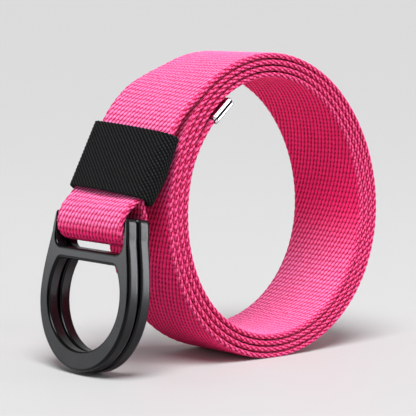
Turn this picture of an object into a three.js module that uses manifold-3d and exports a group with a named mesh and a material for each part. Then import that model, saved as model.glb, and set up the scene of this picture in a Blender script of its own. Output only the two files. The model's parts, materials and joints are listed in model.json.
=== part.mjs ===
import * as THREE from 'three';
import * as BufferGeometryUtils from 'three/addons/utils/BufferGeometryUtils.js';
import Module from 'manifold-3d';

// Canvas belt, coiled and standing on edge. Millimetres, +Z up.
// X runs across the coil with the rings on the -X side, Y runs across the strap.

const STRAP_WIDTH = 38;
const STRAP_THICKNESS = 2.05;
const STRAP_EDGE_ROUNDING = 0.45;

// Coil
const COIL_RADIUS = 55.4; // mean outer radius where the tail leaves
const COIL_TURNS = 3.94; // from where the tail leaves to the tip's mouth
const TURN_GAP = 0.3;
const FOOT_FLATTENING = 0.25;
const PEEL_ANGLE = 110; // where the tail leaves, from +X towards the top
const COIL_STEP = 5;
// Each row adds share x cosine and sine of that many waves round the coil.
const COIL_WAVES = [
  { waves: 2, cosine: -0.0421, sine: -0.0159 },
  { waves: 3, cosine: 0.0062, sine: -0.0064 },
];

// Strap tip
const TIP_LENGTH = 11;
const TIP_WALL = 0.4;
const TIP_END_WALL = 0.8;
const TIP_CLEARANCE = 0.2;
const TIP_CORNER = 0.9;
const TIP_POCKET_CORNER = 0.5;
const TIP_END_ROUNDING = 0.65;
const TIP_DROP = 0.3; // how far the tip hangs below the turn above it
const TIP_BEND = 28; // degrees of coil over which the strap bends inwards

// Rings
const SLOT_SIDE_CLEARANCE = 0.9;
const RING_OPENING_EXTRA = 0.8; // opening radius beyond half the slot's width
const RING_RIM = 5.5;
const RING_THICKNESS = 4.9;
const RING_HEIGHT = 56.6;
const RING_FOOT = 0.8; // how much taller than round the lower half is
const OPENING_FOOT = 7.3; // metal from the ring's foot up to the opening
const RING_GAP = 0.4;
const RING_LEAN = 7.6;
const SLOT_DEPTH = 12.8; // from the ring's top down to the crossbar
const CROSSBAR_HEIGHT = 4.3;
const SLOT_CORNER = 4;
const SLOT_CORNER_HEIGHT = 5.5;
const OPENING_CORNER = 1.8;
const LEG_WIDTH = 2.4; // at the shoulder
const LEG_TOP_WIDTH = 1.3;
const SHOULDER_DROP = 7.5;
const SHOULDER_CURVE = 0.72; // share of the shoulder's height where the rim turns in
const BAR_DIAMETER = 3;
const BAR_DEPTH = 1.55; // from the ring's top to the bar's centre
const BAR_INSET = 0.2; // from the face that looks at the other ring
const RING_EDGE_ROUNDING = 0.6;

// Loop round the two bars
const BAR_OFFSET = 15.9; // from the coil's side to the line between the bars
const BAR_CLEARANCE = 0.3;
const LOOP_CLEARANCE = 2.4; // from the loop down to the crossbar
// Across is a share of the loop's half width, down a share of its drop.
const LOOP_SECTIONS = [
  { across: 0, down: -0.88 },
  { across: -0.62, down: -0.56 },
  { across: -0.97, down: -0.2 },
  { across: -1.15, down: 0.18 },
  { across: -1.07, down: 0.57 },
  { across: -0.64, down: 0.88 },
  { across: 0.04, down: 1 },
  { across: 0.7, down: 0.89 },
  { across: 1.09, down: 0.57 },
  { across: 1.16, down: 0.15 },
  { across: 1.14, down: -0.31 },
];

// Keeper sleeve
const KEEPER_LENGTH = 26;
const KEEPER_WALL = 1.5;
const KEEPER_CLEARANCE = 0.4;
const KEEPER_LIP = 0.45;
const KEEPER_CORNER = 2.4;
const KEEPER_POCKET_CORNER = 0.9;
const KEEPER_ANGLE = 60.4; // from +X towards the top
const KEEPER_SHIFT = 0.5; // from the line between the bars back to the sleeve's mouth
const KEEPER_RISE = 10.9; // from the bars' centres up to the sleeve's mouth
const KEEPER_TAPER = 6.5; // over which the sleeve thins past the folded end
const FOLD_LENGTH = 13; // of the folded end inside the sleeve
const FOLD_END_CLEARANCE = 0.8; // from the folded end to where the sleeve thins
const FOLD_GAP = 0.35; // between the strap and its folded end
const FOLD_BEND = 1.5; // below the sleeve's mouth
const MOUTH_LENGTH = 4; // up into the sleeve, where the strap lies straight
const MOUTH_STEPS = [0.1, 0.55, 1]; // shares of that length
const TAIL_HANDLE = 0.36; // share of the tail's span that each end stays straight

const wasm = await Module();
wasm.setup();

const rad = THREE.MathUtils.degToRad;
const point = (x, z) => new THREE.Vector2(x, z);
const heading = (degrees) => point(Math.cos(rad(degrees)), Math.sin(rad(degrees)));
const pitch = STRAP_THICKNESS + TURN_GAP;

// Solids from rows of section points
function sweptSolid(rows, closedOnItself) {
  const count = rows[0].length;
  const positions = rows.flat().flatMap((p) => [p.x, p.y, p.z]);
  const index = [];
  const last = closedOnItself ? rows.length : rows.length - 1;
  for (let r = 0; r < last; r += 1) {
    const a = r * count;
    const b = ((r + 1) % rows.length) * count;
    for (let k = 0; k < count; k += 1) {
      const n = (k + 1) % count;
      index.push(a + k, b + k, b + n, a + k, b + n, a + n);
    }
  }
  if (!closedOnItself) {
    const top = (rows.length - 1) * count;
    for (let k = 1; k < count - 1; k += 1) {
      index.push(0, k, k + 1, top, top + k + 1, top + k);
    }
  }
  const geometry = new THREE.BufferGeometry();
  geometry.setAttribute('position', new THREE.Float32BufferAttribute(positions, 3));
  geometry.setIndex(index);
  return facingOut(geometry);
}

function facingOut(geometry) {
  const p = geometry.attributes.position;
  const index = geometry.index.array;
  const [a, b, c] = [new THREE.Vector3(), new THREE.Vector3(), new THREE.Vector3()];
  let volume = 0;
  for (let i = 0; i < index.length; i += 3) {
    a.fromBufferAttribute(p, index[i]);
    b.fromBufferAttribute(p, index[i + 1]);
    c.fromBufferAttribute(p, index[i + 2]);
    volume += a.dot(b.cross(c));
  }
  if (volume < 0) {
    for (let i = 0; i < index.length; i += 3) {
      [index[i + 1], index[i + 2]] = [index[i + 2], index[i + 1]];
    }
  }
  geometry.computeVertexNormals();
  return geometry;
}

function toManifold(geometry) {
  const plain = geometry.clone();
  plain.deleteAttribute('normal');
  plain.deleteAttribute('uv');
  const merged = BufferGeometryUtils.mergeVertices(plain, 1e-5);
  return new wasm.Manifold(new wasm.Mesh({
    numProp: 3,
    vertProperties: new Float32Array(merged.attributes.position.array),
    triVerts: new Uint32Array(merged.index.array),
  }));
}

function fromManifold(solid) {
  const mesh = solid.getMesh();
  const geometry = new THREE.BufferGeometry();
  geometry.setAttribute('position', new THREE.BufferAttribute(mesh.vertProperties, 3));
  geometry.setIndex(new THREE.BufferAttribute(mesh.triVerts, 1));
  geometry.computeVertexNormals();
  return geometry;
}

// Coil outline
function coilShape(degrees) {
  let share = 1;
  for (const row of COIL_WAVES) {
    share += row.cosine * Math.cos(rad(row.waves * degrees));
    share += row.sine * Math.sin(rad(row.waves * degrees));
  }
  return share;
}

const outerRadius = (degrees) =>
  COIL_RADIUS * coilShape(degrees) - (pitch * (PEEL_ANGLE - degrees)) / 360;

function coilCentreHeight() {
  let lowest = 0;
  for (let angle = PEEL_ANGLE; angle > PEEL_ANGLE - 360; angle -= COIL_STEP) {
    lowest = Math.min(lowest, outerRadius(angle) * Math.sin(rad(angle)));
  }
  return -lowest - FOOT_FLATTENING;
}

const coilHeight = coilCentreHeight();

const coilPoint = (degrees, inwards) =>
  heading(degrees).multiplyScalar(outerRadius(degrees) - inwards).add(point(0, coilHeight));

// Rings' own measures
const slotHalf = STRAP_WIDTH / 2 + SLOT_SIDE_CLEARANCE;
const openingRadius = slotHalf + RING_OPENING_EXTRA;
const ringRadius = openingRadius + RING_RIM;
const ringCentre = ringRadius + RING_FOOT;
const crossbarTop = RING_HEIGHT - SLOT_DEPTH;
const crossbarBottom = crossbarTop - CROSSBAR_HEIGHT;
const barHeight = RING_HEIGHT - BAR_DEPTH;
const barFromFace = BAR_DIAMETER / 2 + BAR_INSET;

// The two rings lean as one stack, and the back one stands on the floor
const leanUp = heading(90 - RING_LEAN);
const leanBack = heading(-RING_LEAN);
const ringStack = [
  { name: 'ring_front', back: -RING_GAP / 2 - RING_THICKNESS, bar: RING_THICKNESS - barFromFace },
  { name: 'ring_back', back: RING_GAP / 2, bar: barFromFace },
];
const leaningRings = ringStack.map((ring) => ringGeometry(ring));
const ringLift = -Math.min(...leaningRings.map((geometry) => geometry.boundingBox.min.z));
const coilSide = -outerRadius(-180);
const barsMiddle = point(coilSide - BAR_OFFSET, barHeight * leanUp.y + ringLift);

// Strap centreline
const keeperUp = heading(KEEPER_ANGLE);
const keeperOut = heading(KEEPER_ANGLE + 90);
const halfLoop = BAR_DIAMETER + BAR_INSET + RING_GAP / 2 + BAR_CLEARANCE + STRAP_THICKNESS / 2;
const loopDrop = SLOT_DEPTH - BAR_DEPTH - LOOP_CLEARANCE - STRAP_THICKNESS / 2;
const strandOffset = KEEPER_WALL + KEEPER_CLEARANCE + STRAP_THICKNESS / 2;
const foldOffset = strandOffset + STRAP_THICKNESS + FOLD_GAP;
const keeperMouth = barsMiddle.clone().add(point(KEEPER_SHIFT, KEEPER_RISE));

const keeperPoint = (along, inwards) =>
  keeperMouth.clone().addScaledVector(keeperUp, along).addScaledVector(keeperOut, -inwards);

function smoothShare(value) {
  const v = THREE.MathUtils.clamp(value, 0, 1);
  return v * v * (3 - 2 * v);
}

// Tip centreline, a straight chord under the coil's third turn
const spiralEnd = PEEL_ANGLE - 360 * COIL_TURNS;
const tipDip = TIP_WALL + TIP_CLEARANCE + TIP_DROP;
const tipStart = coilPoint(spiralEnd, STRAP_THICKNESS / 2 + tipDip);
const tipSweep = THREE.MathUtils.radToDeg(TIP_LENGTH / tipStart.distanceTo(point(0, coilHeight)));
const tipAim = coilPoint(spiralEnd - tipSweep, STRAP_THICKNESS / 2 + tipDip - TIP_DROP / 2);
const tipForward = tipAim.clone().sub(tipStart).normalize();
const tipSide = point(-tipForward.y, tipForward.x);

function coilCentreline() {
  const path = [];
  const strapEnd = TIP_LENGTH - TIP_END_WALL - TIP_CLEARANCE;
  for (const along of [strapEnd, strapEnd / 2]) {
    path.push(tipStart.clone().addScaledVector(tipForward, along));
  }
  const steps = Math.round((360 * COIL_TURNS) / COIL_STEP);
  for (let i = 0; i <= steps; i += 1) {
    const angle = spiralEnd + ((PEEL_ANGLE - spiralEnd) * i) / steps;
    const bend = 1 - smoothShare((angle - spiralEnd) / TIP_BEND);
    path.push(coilPoint(angle, STRAP_THICKNESS / 2 + tipDip * bend));
  }
  return path;
}

function tailCentreline(start, before) {
  const end = keeperPoint(KEEPER_LENGTH, strandOffset);
  const span = start.distanceTo(end) * TAIL_HANDLE;
  const away = start.clone().sub(before).normalize();
  const curve = new THREE.CubicBezierCurve(
    start,
    start.clone().addScaledVector(away, span),
    end.clone().addScaledVector(keeperUp, span),
    end,
  );
  return curve.getSpacedPoints(10).slice(1);
}

function loopCentreline() {
  const inMouth = (share, inwards) => keeperPoint(share * MOUTH_LENGTH, inwards);
  const points = MOUTH_STEPS.map((share) => inMouth(share, strandOffset)).reverse();
  for (const row of LOOP_SECTIONS) {
    points.push(barsMiddle.clone().add(point(row.across * halfLoop, -row.down * loopDrop)));
  }
  points.push(keeperPoint(-FOLD_BEND, foldOffset + FOLD_GAP / 2));
  points.push(...MOUTH_STEPS.map((share) => inMouth(share, foldOffset)));
  const curve = new THREE.SplineCurve(points);
  return curve.getPoints((points.length - 1) * 4);
}

function strapCentreline() {
  const coil = coilCentreline();
  const tail = tailCentreline(coil[coil.length - 1], coil[coil.length - 2]);
  const loop = loopCentreline();
  return [...coil, ...tail, ...loop, keeperPoint(FOLD_LENGTH, foldOffset)];
}

// Strap
function strapSection(centre, side) {
  const half = STRAP_THICKNESS / 2;
  const corner = STRAP_EDGE_ROUNDING;
  const width = STRAP_WIDTH / 2;
  const outline = [
    [-width, half - corner], [-width + corner, half], [width - corner, half], [width, half - corner],
    [width, corner - half], [width - corner, -half], [corner - width, -half], [-width, corner - half],
  ];
  return outline.map(([y, out]) => {
    const p = centre.clone().addScaledVector(side, out);
    return new THREE.Vector3(p.x, y, Math.max(p.y, 0));
  });
}

function strapGeometry() {
  const path = strapCentreline();
  const rows = path.map((centre, i) => {
    const before = path[Math.max(i - 1, 0)];
    const after = path[Math.min(i + 1, path.length - 1)];
    const along = after.clone().sub(before).normalize();
    return strapSection(centre, point(-along.y, along.x));
  });
  return sweptSolid(rows, false);
}

// Section of a flat sleeve or cap: a rounded rectangle across the strap
function sleeveSection(low, high, halfWidth, corner, place) {
  const points = [];
  const corners = [
    { y: halfWidth, out: high, turn: 90 }, { y: halfWidth, out: low, turn: 0 },
    { y: -halfWidth, out: low, turn: -90 }, { y: -halfWidth, out: high, turn: -180 },
  ];
  for (const c of corners) {
    const y = c.y - Math.sign(c.y) * corner;
    const out = c.out + (c.out === high ? -corner : corner);
    for (const part of [0, 30, 60, 90]) {
      const a = rad(c.turn - part);
      const p = place(out + corner * Math.sin(a));
      points.push(new THREE.Vector3(p.x, y + corner * Math.cos(a), p.y));
    }
  }
  return points;
}

// Keeper
function keeperGeometry() {
  const single = 2 * KEEPER_CLEARANCE + STRAP_THICKNESS;
  const double = single + STRAP_THICKNESS + FOLD_GAP;
  const taperStart = FOLD_LENGTH + FOLD_END_CLEARANCE;
  const taper = [0, 1 / 3, 2 / 3, 1].map((share) => taperStart + share * KEEPER_TAPER);
  const cavity = (along) =>
    THREE.MathUtils.lerp(double, single, smoothShare((along - taperStart) / KEEPER_TAPER));
  const lip = KEEPER_LIP;
  const stations = [lip, taperStart / 2, ...taper, KEEPER_LENGTH - lip];
  const half = STRAP_WIDTH / 2 + KEEPER_CLEARANCE;
  const place = (along) => (out) => keeperPoint(along, -out);
  const outer = (along, inset) => sleeveSection(
    -cavity(along) - 2 * KEEPER_WALL + inset, -inset, half + KEEPER_WALL - inset,
    KEEPER_CORNER - inset, place(along),
  );
  const inner = (along, inset) => sleeveSection(
    -cavity(along) - KEEPER_WALL - inset, -KEEPER_WALL + inset, half + inset,
    KEEPER_POCKET_CORNER, place(along),
  );
  const rows = [outer(0, lip), ...stations.map((s) => outer(s, 0)), outer(KEEPER_LENGTH, lip)];
  rows.push(inner(KEEPER_LENGTH, lip), ...stations.reverse().map((s) => inner(s, 0)), inner(0, lip));
  return sweptSolid(rows, true);
}

// Ring plates
function bent(from, control, to, parts) {
  return new THREE.QuadraticBezierCurve(from, control, to).getPoints(parts).slice(1);
}

function mirrored(half) {
  return half.map((p) => point(-p.x, p.y)).reverse();
}

function ringOutline() {
  const leg = point(slotHalf + LEG_WIDTH, RING_HEIGHT - SHOULDER_DROP);
  const legTop = point(slotHalf + LEG_TOP_WIDTH, RING_HEIGHT);
  const legTaper = LEG_WIDTH - LEG_TOP_WIDTH;
  const slotSide = point(slotHalf, crossbarTop + SLOT_CORNER_HEIGHT);
  const slotFloor = point(slotHalf - SLOT_CORNER, crossbarTop);
  const round = new THREE.EllipseCurve(0, ringCentre, ringRadius, ringCentre, -Math.PI / 2, 0);
  const half = round.getPoints(14);
  half.push(
    ...bent(half[14], point(ringRadius, leg.y * SHOULDER_CURVE), leg, 6),
    ...bent(leg, point(legTop.x + legTaper / 2, RING_HEIGHT - legTaper), legTop, 5),
    point(slotHalf, RING_HEIGHT),
    slotSide,
    ...bent(slotSide, point(slotHalf, crossbarTop), slotFloor, 5),
  );
  const shape = new THREE.Shape([...half, ...mirrored(half.slice(1))]);
  shape.holes.push(ringOpening());
  return shape;
}

function ringOpening() {
  const drop = ringCentre - OPENING_FOOT;
  const end = Math.asin((crossbarBottom - OPENING_CORNER - ringCentre) / openingRadius);
  const lower = new THREE.EllipseCurve(0, ringCentre, openingRadius, drop, -Math.PI / 2, 0);
  const upper = new THREE.EllipseCurve(0, ringCentre, openingRadius, openingRadius, 0, end);
  const half = [...lower.getPoints(12), ...upper.getPoints(5).slice(1)];
  const side = half.at(-1);
  const corner = point(side.x - OPENING_CORNER * 0.4, crossbarBottom);
  half.push(...bent(side, corner, point(corner.x - OPENING_CORNER, crossbarBottom), 4));
  return new THREE.Path([...half, ...mirrored(half.slice(1))]);
}

function ringGeometry(ring) {
  const plate = new THREE.ExtrudeGeometry(ringOutline(), {
    depth: RING_THICKNESS - 2 * RING_EDGE_ROUNDING,
    steps: 1,
    bevelEnabled: true,
    bevelThickness: RING_EDGE_ROUNDING,
    bevelSize: RING_EDGE_ROUNDING,
    bevelOffset: -RING_EDGE_ROUNDING,
    bevelSegments: 2,
  });
  plate.translate(0, 0, RING_EDGE_ROUNDING);
  const length = 2 * slotHalf + LEG_WIDTH;
  const bar = new THREE.CylinderGeometry(BAR_DIAMETER / 2, BAR_DIAMETER / 2, length, 16);
  bar.rotateZ(Math.PI / 2);
  bar.translate(0, barHeight, ring.bar);
  return leaned(fromManifold(toManifold(plate).add(toManifold(bar))), ring);
}

// The plate's own axes are across, up and back; they become Y, the lean and its back direction.
function leaned(geometry, ring) {
  const matrix = new THREE.Matrix4().makeBasis(
    new THREE.Vector3(0, 1, 0),
    new THREE.Vector3(leanUp.x, 0, leanUp.y),
    new THREE.Vector3(leanBack.x, 0, leanBack.y),
  );
  matrix.setPosition(leanBack.x * ring.back, 0, leanBack.y * ring.back);
  geometry.applyMatrix4(matrix);
  geometry.computeBoundingBox();
  return geometry;
}

function standingRing(geometry) {
  const foot = barsMiddle.clone().addScaledVector(leanUp, -barHeight);
  return geometry.translate(foot.x, 0, foot.y);
}

// Strap tip
function tipGeometry() {
  const innerHalf = STRAP_THICKNESS / 2 + TIP_CLEARANCE;
  const outerHalf = innerHalf + TIP_WALL;
  const innerWidth = STRAP_WIDTH / 2 + TIP_CLEARANCE;
  const outerWidth = innerWidth + TIP_WALL;
  const round = TIP_END_ROUNDING;
  const near = round * 0.3;
  const place = (along) => (out) =>
    tipStart.clone().addScaledVector(tipForward, along).addScaledVector(tipSide, out);
  const section = (along, half, width, corner) =>
    sleeveSection(-half, half, width, corner, place(along));
  const rows = [
    section(TIP_LENGTH - TIP_END_WALL, innerHalf, innerWidth, TIP_POCKET_CORNER),
    section(0, innerHalf, innerWidth, TIP_POCKET_CORNER),
    section(0, outerHalf, outerWidth, TIP_CORNER),
    section(TIP_LENGTH - round, outerHalf, outerWidth, TIP_CORNER),
    section(TIP_LENGTH - near, outerHalf - near, outerWidth - near, TIP_CORNER),
    section(TIP_LENGTH, outerHalf - round, outerWidth - round, TIP_CORNER - near),
  ];
  return sweptSolid(rows, false);
}

// Materials
const webbing = () => new THREE.MeshStandardMaterial({ color: 0xe61e78, roughness: 0.85, metalness: 0 });
const elastic = () => new THREE.MeshStandardMaterial({ color: 0x17181a, roughness: 0.9, metalness: 0 });
const satinBlack = () => new THREE.MeshStandardMaterial({ color: 0x26282a, roughness: 0.4, metalness: 0.8 });
const polished = () => new THREE.MeshStandardMaterial({ color: 0xd6d8da, roughness: 0.12, metalness: 1 });

function namedMesh(name, geometry, material) {
  const mesh = new THREE.Mesh(geometry, material);
  mesh.name = name;
  return mesh;
}

function belt() {
  const meshes = [
    namedMesh('strap', strapGeometry(), webbing()),
    namedMesh('keeper', keeperGeometry(), elastic()),
    ...ringStack.map((ring, i) => namedMesh(ring.name, standingRing(leaningRings[i]), satinBlack())),
    namedMesh('strap_tip', tipGeometry(), polished()),
  ];
  const box = new THREE.Box3();
  meshes.forEach((mesh) => box.expandByObject(mesh));
  const middle = box.getCenter(new THREE.Vector3());
  const group = new THREE.Group();
  group.name = 'canvas_belt';
  meshes.forEach((mesh) => {
    mesh.geometry.translate(-middle.x, -middle.y, -box.min.z);
    group.add(mesh);
  });
  return group;
}

export default belt();
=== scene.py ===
# %% [markdown]
# # A webbing belt, coiled and standing on edge
# The belt is a flat woven strap. One end wears a metal cap, the other end is folded round the bars of
# two D rings, and a knitted sleeve hides the fold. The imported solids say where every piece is, so this
# lesson only dresses them: it weaves the strap, knits the sleeve, rounds the metal and lights the whole.

# %% Load the fixed frame
import json
import math

import bmesh
import bpy
import numpy as np
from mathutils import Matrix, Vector
from mathutils.geometry import tessellate_polygon


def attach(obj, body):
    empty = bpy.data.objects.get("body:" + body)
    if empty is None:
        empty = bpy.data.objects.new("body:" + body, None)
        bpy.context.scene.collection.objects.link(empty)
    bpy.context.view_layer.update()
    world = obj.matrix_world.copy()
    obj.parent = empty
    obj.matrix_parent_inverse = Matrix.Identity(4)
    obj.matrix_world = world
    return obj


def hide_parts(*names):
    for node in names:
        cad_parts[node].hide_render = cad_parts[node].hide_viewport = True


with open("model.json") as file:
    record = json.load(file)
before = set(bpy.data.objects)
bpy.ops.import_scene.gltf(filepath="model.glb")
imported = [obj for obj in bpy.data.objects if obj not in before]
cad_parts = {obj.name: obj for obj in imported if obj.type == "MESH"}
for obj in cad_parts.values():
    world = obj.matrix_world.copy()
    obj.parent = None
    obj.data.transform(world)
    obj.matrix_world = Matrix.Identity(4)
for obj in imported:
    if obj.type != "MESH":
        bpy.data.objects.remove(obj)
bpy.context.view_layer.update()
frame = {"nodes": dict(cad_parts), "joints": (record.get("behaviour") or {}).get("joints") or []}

print("nodes:", sorted(frame["nodes"]))

# %% [markdown]
# ## Camera
# A product photo of a small thing is taken from far away with a long lens, which keeps the near and
# the far edge of the strap almost the same size. The lens is stated as the focal length in pixels of
# a square picture, and turned into millimetres for the 36 mm sensor that Blender uses. The standard
# view keeps the hot pink as it is, where a film-like view would bleach it.

# %% Place the camera
PICTURE_PIXELS = 416
FOCAL_PIXELS = 2053.9
SENSOR_MM = 36
AIM = Vector((0.0132, 0.0204, 0.0531))
CAMERA_DISTANCE = 0.794
AZIMUTH, ELEVATION = math.radians(-40), math.radians(5.9)
CLIP_RANGE = (0.01, 500)


def linked(name, data):
    made = bpy.data.objects.new(name, data)
    bpy.context.scene.collection.objects.link(made)
    return made


towards_camera = Vector((
    math.sin(AZIMUTH) * math.cos(ELEVATION),
    -math.cos(AZIMUTH) * math.cos(ELEVATION),
    math.sin(ELEVATION),
))
camera = linked("camera", bpy.data.cameras.new("camera"))
camera.location = AIM + towards_camera * CAMERA_DISTANCE
camera.rotation_euler = (-towards_camera).to_track_quat("-Z", "Y").to_euler()
camera.data.sensor_width = SENSOR_MM
camera.data.lens = FOCAL_PIXELS / PICTURE_PIXELS * SENSOR_MM
camera.data.clip_start, camera.data.clip_end = CLIP_RANGE
bpy.context.scene.camera = camera
bpy.context.scene.view_settings.view_transform = "Standard"
print("lens in mm:", round(camera.data.lens, 1))

# %% [markdown]
# ## Node helpers
# The sky, the materials and the cloth's relief are all made of nodes. Wiring them repeats three steps:
# add a node, set its options, and link or fill its sockets. These helpers take those steps.

# %% Node helpers
def feed(tree, node, values):
    """Link each named input to the socket that is given for it, or fill it with the value."""
    for label, value in dict(values).items():
        if isinstance(value, bpy.types.NodeSocket):
            tree.links.new(value, node.inputs[label])
        else:
            node.inputs[label].default_value = value


def added(tree, kind, values=(), **settings):
    node = tree.nodes.new(kind)
    for name, value in settings.items():
        setattr(node, name, value)
    feed(tree, node, values)
    return node


def maths(tree, operation, *values):
    return added(tree, "ShaderNodeMath", enumerate(values), operation=operation).outputs[0]


def new_material(name):
    material = bpy.data.materials.new(name)
    material.use_nodes = True
    return material, material.node_tree, material.node_tree.nodes["Principled BSDF"]


print("node helpers:", feed.__name__, added.__name__, maths.__name__, new_material.__name__)

# %% [markdown]
# ## Floor
# The belt stands on a plain pale table that runs on to the horizon. The camera looks down by only six
# degrees, so the table is all the background there is, and it has to be very large.

# %% Lay the floor
FLOOR_SIZE = 160
FLOOR_COLOR = (0.54, 0.54, 0.5454, 1)
FLOOR_ROUGHNESS = 0.55

edge = FLOOR_SIZE / 2
floor_mesh = bpy.data.meshes.new("floor")
floor_corners = [(-edge, -edge, 0), (edge, -edge, 0), (edge, edge, 0), (-edge, edge, 0)]
floor_mesh.from_pydata(floor_corners, [], [(0, 1, 2, 3)])
floor = linked("floor", floor_mesh)
floor_paint, paint_tree, paint = new_material("floor_paint")
feed(paint_tree, paint, {"Base Color": FLOOR_COLOR, "Roughness": FLOOR_ROUGHNESS})
floor.data.materials.append(floor_paint)
print("floor:", FLOOR_SIZE, "m wide")

# %% [markdown]
# ## Sky
# The sky fills the shadows. One side of it is dark, as the dark part of a studio behind the camera is,
# because black metal and chrome need something dark to mirror, or they look like grey plastic. The dark
# side is a fixed direction of the world, so it stays in its place for every point of view.

# %% Make the sky
SKY_STRENGTH, DARK_STRENGTH = 0.33, 0.02
DARK_EDGE = (0.10, 0.85)

world = bpy.data.worlds.new("studio")
bpy.context.scene.world = world
world.use_nodes = True
sky = world.node_tree
way = added(sky, "ShaderNodeTexCoord").outputs["Generated"]
dark_side = (math.sin(AZIMUTH), -math.cos(AZIMUTH), 0)
towards_dark = added(sky, "ShaderNodeVectorMath", {0: way, 1: dark_side}, operation="DOT_PRODUCT")
sky_fade = added(sky, "ShaderNodeMapRange", {
    "Value": towards_dark.outputs["Value"],
    "From Min": DARK_EDGE[0], "From Max": DARK_EDGE[1],
    "To Min": SKY_STRENGTH, "To Max": DARK_STRENGTH,
}, interpolation_type="SMOOTHSTEP")
feed(sky, sky.nodes["Background"], {"Color": (1, 1, 1, 1), "Strength": sky_fade.outputs["Result"]})
print("sky:", SKY_STRENGTH, "dark side:", DARK_STRENGTH)

# %% [markdown]
# ## Lights
# A broad sun stands for a large softbox above the camera's left. It lights the near and the far table
# alike, which a lamp near the belt can't do. A narrow strip on the right draws the bright bands along
# the rings' sides, and a panel behind the belt and a wide fill before it open up the shade.

# %% Set the lights
SUN_STRENGTH, SUN_SPREAD = 4.3, 35
SUN_FROM = Vector((-0.38, -0.42, 1.0))
# Of each lamp: its place, the point it looks at, its width and height in metres, and its watts.
LAMPS = {
    "right_strip": ((0.62, -0.72, 0.24), (-0.05, 0, 0.04), (0.16, 0.46), 2.2),
    "left_panel": ((-0.66, 0.79, 0.26), (0, 0, 0.05), (0.5, 0.4), 1.7),
    "front_fill": ((-0.35, -1.2, 0.5), (0, 0, 0.05), (0.8, 0.8), 3.2),
}

sun = linked("softbox", bpy.data.lights.new("softbox", "SUN"))
sun.data.energy = SUN_STRENGTH
sun.data.angle = math.radians(SUN_SPREAD)
sun.rotation_euler = SUN_FROM.to_track_quat("Z", "Y").to_euler()
for lamp_name, (place, target, size, watts) in LAMPS.items():
    lamp = linked(lamp_name, bpy.data.lights.new(lamp_name, "AREA"))
    lamp.data.shape = "RECTANGLE"
    lamp.data.size, lamp.data.size_y = size
    lamp.data.energy = watts
    lamp.visible_camera = False
    lamp.location = place
    lamp.rotation_euler = (Vector(place) - Vector(target)).to_track_quat("Z", "Y").to_euler()
print("sun:", SUN_STRENGTH, "lamps:", sorted(LAMPS))

# %% [markdown]
# ## The strap's path
# Seen from the side the strap is one long line. It starts in the metal cap, runs round the coil in a
# spiral, leaves the coil as a free tail, dips round the two bars and folds back into the sleeve. Each
# stretch is a formula, and the joints of the rings give the exact centres of the bars. The lengths
# are millimetres here, and turn into metres only when a mesh is made. A coil that someone rolled by
# hand is never a true circle, so two slow waves bend it, and its foot is pressed flat by the table.

# %% Coil
STRAP_WIDTH, STRAP_THICKNESS = 38.0, 2.05
COIL_RADIUS, COIL_TURNS, TURN_GAP = 55.4, 3.94, 0.3
FOOT_FLATTENING, PEEL_ANGLE = 0.25, 110.0
COIL_WAVES = ((2, -0.0421, -0.0159), (3, 0.0062, -0.0064))
BAR_OFFSET = 15.9
SEARCH_STEP = 5.0
COIL_PITCH = STRAP_THICKNESS + TURN_GAP

bar_centres = [np.array(joint["pos_m"])[[0, 2]] * 1000 for joint in frame["joints"]]
bars_middle = (bar_centres[0] + bar_centres[1]) / 2


def heading(degrees):
    return np.stack([np.cos(np.radians(degrees)), np.sin(np.radians(degrees))], -1)


def outer_radius(degrees):
    share = 1.0
    for waves, cosine, sine in COIL_WAVES:
        share = share + (heading(waves * degrees) @ np.array([cosine, sine]))
    return COIL_RADIUS * share - COIL_PITCH * (PEEL_ANGLE - degrees) / 360


once_round = PEEL_ANGLE - np.arange(0, 360, SEARCH_STEP)
lowest = (outer_radius(once_round)[:, None] * heading(once_round))[:, 1].min()
coil_centre = np.array([
    bars_middle[0] + BAR_OFFSET + outer_radius(-180.0),
    -lowest - FOOT_FLATTENING,
])


def coil_point(degrees, inwards):
    reach = outer_radius(np.asarray(degrees, float)) - inwards
    return coil_centre + reach[..., None] * heading(degrees)


print("coil centre:", coil_centre.round(2), "bars:", [c.round(2) for c in bar_centres])

# %% [markdown]
# ## Both ends of the path
# At its start the strap dips inwards, because the cap is thicker than the strap and needs room under
# the next turn. At its end it runs through the sleeve twice: down to the bars, and back up as the fold.
# So the sleeve's own direction, and the distances of the two layers from its outer side, come first.

# %% Sleeve, fold and cap on the path
TIP_LENGTH, TIP_WALL, TIP_CLEARANCE = 11.0, 0.4, 0.2
TIP_END_WALL, TIP_DROP, TIP_BEND = 0.8, 0.3, 28.0
KEEPER_LENGTH, KEEPER_WALL, KEEPER_CLEARANCE = 26.0, 1.5, 0.4
KEEPER_ANGLE, KEEPER_SHIFT, KEEPER_RISE = 60.4, 0.5, 10.9
FOLD_LENGTH, FOLD_GAP, FOLD_BEND = 13.0, 0.35, 1.5
MOUTH_LENGTH, MOUTH_STEPS, TAIL_HANDLE = 4.0, (0.1, 0.55, 1.0), 0.36
BAR_DIAMETER, BAR_INSET, BAR_CLEARANCE, RING_GAP = 3.0, 0.2, 0.3, 0.4
SLOT_DEPTH, BAR_DEPTH, LOOP_CLEARANCE = 12.8, 1.55, 2.4
LOOP_SECTIONS = (
    (0, -0.88), (-0.62, -0.56), (-0.97, -0.2), (-1.15, 0.18), (-1.07, 0.57), (-0.64, 0.88),
    (0.04, 1), (0.7, 0.89), (1.09, 0.57), (1.16, 0.15), (1.14, -0.31),
)

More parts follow.
